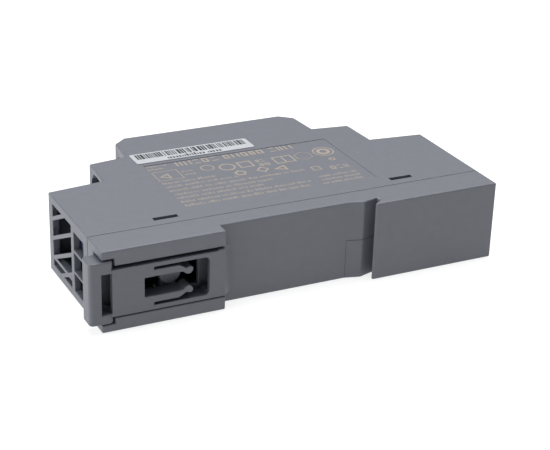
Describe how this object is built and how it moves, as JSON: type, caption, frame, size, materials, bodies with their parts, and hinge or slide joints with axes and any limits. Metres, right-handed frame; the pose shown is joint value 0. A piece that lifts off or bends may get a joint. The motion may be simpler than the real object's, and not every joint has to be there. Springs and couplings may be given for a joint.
{
  "type": "din rail power supply",
  "caption": "Slim grey power supply for a 35 mm rail, with a stepped case, vented ends, a sliding spring latch and screw terminals.",
  "frame": {"origin": "middle of the underside of the bounding box, with the supply lying on one flat side", "axes": "+X along the 90 mm length, away from the latch head; +Y from the rail side to the nose; +Z through the one-module thickness, up to the label side"},
  "size_m": [0.0926, 0.0548, 0.0176],
  "materials": {
    "case_plastic": "moulded blue-grey polycarbonate with a fine spark-eroded texture",
    "latch_plastic": "moulded blue-grey plastic, slightly smoother than the case",
    "label_paper": "white satin polyester label with dark print",
    "board": "green glass-epoxy board",
    "film": "thin insulating film",
    "can_black": "black sleeve on an aluminium can",
    "can_blue": "dark blue sleeve on an aluminium can",
    "ferrite": "sintered ferrite",
    "bobbin": "phenolic bobbin",
    "winding_tape": "yellow polyester tape over enamelled wire",
    "enamelled_wire": "copper wire with clear enamel",
    "fuse_body": "brown moulded cap",
    "varistor_coat": "blue epoxy coat",
    "film_capacitor_box": "yellow-grey moulded box",
    "epoxy_black": "black moulding compound",
    "white_epoxy": "white moulding compound",
    "heat_sink": "mill-finish extrusion",
    "led_green": "tinted clear epoxy",
    "light_pipe": "clear moulded light guide",
    "trimmer_blue": "blue moulded housing",
    "trimmer_white": "white moulded dial",
    "terminal_plastic": "dark grey glass-filled polyamide",
    "screw_steel": "zinc-plated steel",
    "cage_steel": "yellow-passivated steel",
    "contact_brass": "tinned brass"
  },
  "bodies": {
    "case": {"front_housing": "case_plastic", "rear_base": "case_plastic", "barcode_label": "label_paper", "main_pcb": "board", "insulation_sheet": "film", "input_capacitor_1": "can_black", "input_capacitor_2": "can_black", "output_capacitor_1": "can_blue", "output_capacitor_2": "can_blue", "transformer_core": "ferrite", "transformer_bobbin": "bobbin", "transformer_winding": "winding_tape", "transformer_pin_frame": "bobbin", "choke_core": "ferrite", "choke_winding_1": "enamelled_wire", "choke_winding_2": "enamelled_wire", "fuse": "fuse_body", "varistor": "varistor_coat", "x_capacitor": "film_capacitor_box", "bridge_rectifier": "epoxy_black", "power_controller": "epoxy_black", "y_capacitor": "varistor_coat", "optocoupler": "white_epoxy", "output_inductor": "ferrite", "output_rectifier": "epoxy_black", "rectifier_heat_sink": "heat_sink", "status_led": "led_green", "led_light_pipe": "light_pipe", "trimmer_body": "trimmer_blue", "terminal_block_output": "terminal_plastic", "terminal_contact_output_1": "contact_brass", "terminal_contact_output_2": "contact_brass", "terminal_block_input": "terminal_plastic", "terminal_contact_input_1": "contact_brass", "terminal_contact_input_2": "contact_brass"},
    "latch": {"din_latch": "latch_plastic"},
    "trimmer_dial": {"trimmer_rotor": "trimmer_white"},
    "screw_output_1": {"terminal_screw_output_1": "screw_steel"},
    "cage_output_1": {"terminal_cage_output_1": "cage_steel"},
    "screw_output_2": {"terminal_screw_output_2": "screw_steel"},
    "cage_output_2": {"terminal_cage_output_2": "cage_steel"},
    "screw_input_1": {"terminal_screw_input_1": "screw_steel"},
    "cage_input_1": {"terminal_cage_input_1": "cage_steel"},
    "screw_input_2": {"terminal_screw_input_2": "screw_steel"},
    "cage_input_2": {"terminal_cage_input_2": "cage_steel"}
  },
  "joints": [
    {"name": "latch_slide", "type": "slide", "parent": "case", "child": "latch", "axis": [-1, 0, 0], "range_m": [0, 0.0048]},
    {"name": "trimmer_turn", "type": "hinge", "parent": "case", "child": "trimmer_dial", "pos_m": [0.0073, 0.0239, 0.0076], "axis": [0, 1, 0], "range_deg": [-135, 135]},
    {"name": "screw_turn_output_1", "type": "hinge", "parent": "case", "child": "screw_output_1", "pos_m": [-0.023, 0.0139, 0.00485], "axis": [0, -1, 0], "range_deg": [0, 1620]},
    {"name": "cage_rise_output_1", "type": "slide", "parent": "case", "child": "cage_output_1", "axis": [0, 1, 0], "range_m": [0, 0.00225]},
    {"name": "screw_turn_output_2", "type": "hinge", "parent": "case", "child": "screw_output_2", "pos_m": [-0.023, 0.0139, 0.01265], "axis": [0, -1, 0], "range_deg": [0, 1620]},
    {"name": "cage_rise_output_2", "type": "slide", "parent": "case", "child": "cage_output_2", "axis": [0, 1, 0], "range_m": [0, 0.00225]},
    {"name": "screw_turn_input_1", "type": "hinge", "parent": "case", "child": "screw_input_1", "pos_m": [0.0256, 0.0139, 0.00485], "axis": [0, -1, 0], "range_deg": [0, 1620]},
    {"name": "cage_rise_input_1", "type": "slide", "parent": "case", "child": "cage_input_1", "axis": [0, 1, 0], "range_m": [0, 0.00225]},
    {"name": "screw_turn_input_2", "type": "hinge", "parent": "case", "child": "screw_input_2", "pos_m": [0.0256, 0.0139, 0.01265], "axis": [0, -1, 0], "range_deg": [0, 1620]},
    {"name": "cage_rise_input_2", "type": "slide", "parent": "case", "child": "cage_input_2", "axis": [0, 1, 0], "range_m": [0, 0.00225]}
  ],
  "couplings": [
    {"joint": "screw_turn_output_1", "follows": "cage_rise_output_1", "rad_per_m": 12566},
    {"joint": "screw_turn_output_2", "follows": "cage_rise_output_2", "rad_per_m": 12566},
    {"joint": "screw_turn_input_1", "follows": "cage_rise_input_1", "rad_per_m": 12566},
    {"joint": "screw_turn_input_2", "follows": "cage_rise_input_2", "rad_per_m": 12566}
  ]
}
